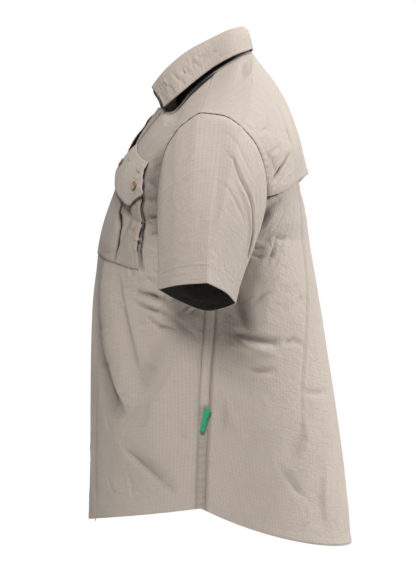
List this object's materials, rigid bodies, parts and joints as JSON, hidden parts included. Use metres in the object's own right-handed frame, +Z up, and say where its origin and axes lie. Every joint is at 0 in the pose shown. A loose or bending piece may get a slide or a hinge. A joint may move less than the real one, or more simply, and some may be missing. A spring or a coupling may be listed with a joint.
{
  "type": "short-sleeve shirt",
  "caption": "Short-sleeve outdoor shirt held open as if worn, with collar, buttoned front, flapped chest pockets, caped back yoke and a longer tail",
  "frame": {"origin": "on the centre plane at the base of the neck, level with the shoulders, where the wearer carries the shirt", "axes": "+Z up, +X towards the wearer's left side, -Y towards the front"},
  "size_m": [0.723, 0.3934, 0.7687],
  "materials": {
    "cloth": "thin stone-coloured ripstop, matt with a faint sheen",
    "button": "amber-brown resin, satin",
    "label": "woven green tape, left bare"
  },
  "bodies": {
    "root": {"front_left": "cloth", "front_right": "cloth", "back": "cloth", "yoke": "cloth", "sleeve_left": "cloth", "sleeve_right": "cloth", "collar_stand": "cloth", "collar_leaf": "cloth", "placket": "cloth", "pocket_left": "cloth", "pocket_right": "cloth", "flap_left": "cloth", "flap_right": "cloth", "front_button_1": "button", "front_button_2": "button", "front_button_3": "button", "front_button_4": "button", "front_button_5": "button", "front_button_6": "button", "flap_left_button_front": "button", "flap_left_button_rear": "button", "flap_right_button_front": "button", "flap_right_button_rear": "button", "side_label": "label"}
  },
  "joints": []
}
